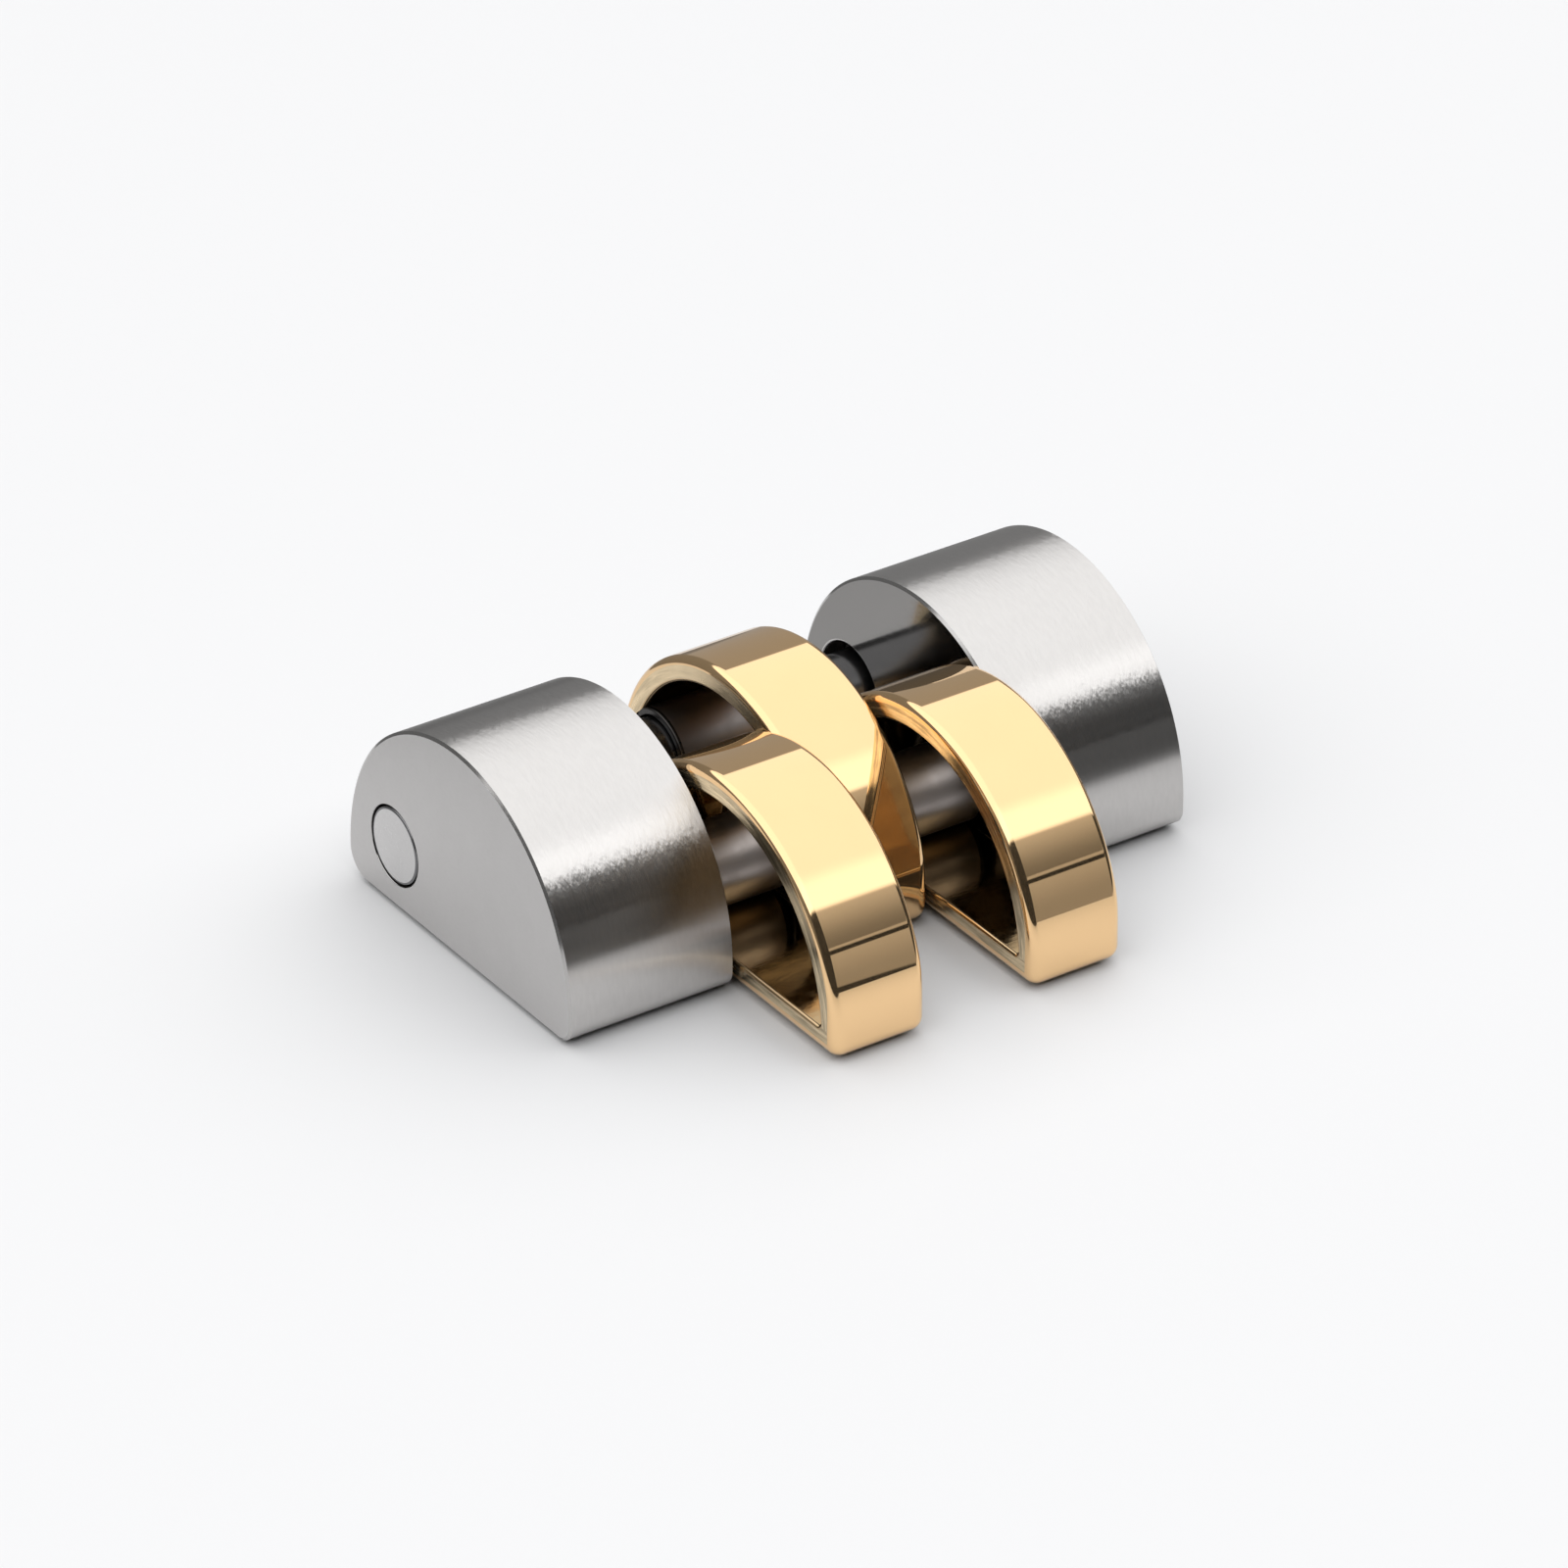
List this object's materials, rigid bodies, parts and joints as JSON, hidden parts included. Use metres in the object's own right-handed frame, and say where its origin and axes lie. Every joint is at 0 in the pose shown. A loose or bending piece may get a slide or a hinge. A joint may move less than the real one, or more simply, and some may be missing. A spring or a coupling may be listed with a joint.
{
  "type": "watch bracelet link",
  "caption": "Half-round steel and gold bracelet row: solid outer links, hollow centre link, swinging mid links and a push-out rear pin.",
  "frame": {"origin": "on the flat wrist side, mid width of the row and mid length of the outer links", "axes": "+X along the pins towards the sleeve end, +Y to the rear of the row, +Z away from the wrist"},
  "size_m": [0.01, 0.0077, 0.0032],
  "materials": {
    "outer_steel": "fine brushing that runs over the round top from front to rear, fine matt on the sides",
    "polished_gold": "mirror-polished yellow gold",
    "tube_steel": "drawn tube, satin",
    "pin_steel": "ground pin, dark satin, its two ends light and matt"
  },
  "bodies": {
    "row": {"outer_link_left": "outer_steel", "outer_link_right": "outer_steel", "centre_link": "polished_gold", "centre_tube_front": "tube_steel", "centre_tube_rear": "tube_steel", "front_pin": "pin_steel", "rear_pin_sleeve": "tube_steel"},
    "mid_left": {"mid_link_left": "polished_gold", "mid_tube_left": "tube_steel"},
    "mid_right": {"mid_link_right": "polished_gold", "mid_tube_right": "tube_steel"},
    "rear_pin": {"rear_pin": "pin_steel"}
  },
  "joints": [
    {"name": "mid_left_swing", "type": "hinge", "parent": "row", "child": "mid_left", "pos_m": [-0.00159, -0.0012, 0.00095], "axis": [-1, 0, 0], "range_deg": [-90, 108]},
    {"name": "mid_right_swing", "type": "hinge", "parent": "row", "child": "mid_right", "pos_m": [0.00159, -0.0012, 0.00095], "axis": [-1, 0, 0], "range_deg": [-90, 108]},
    {"name": "rear_pin_slide", "type": "slide", "parent": "row", "child": "rear_pin", "axis": [-1, 0, 0], "range_m": [0, 0.0075]}
  ]
}
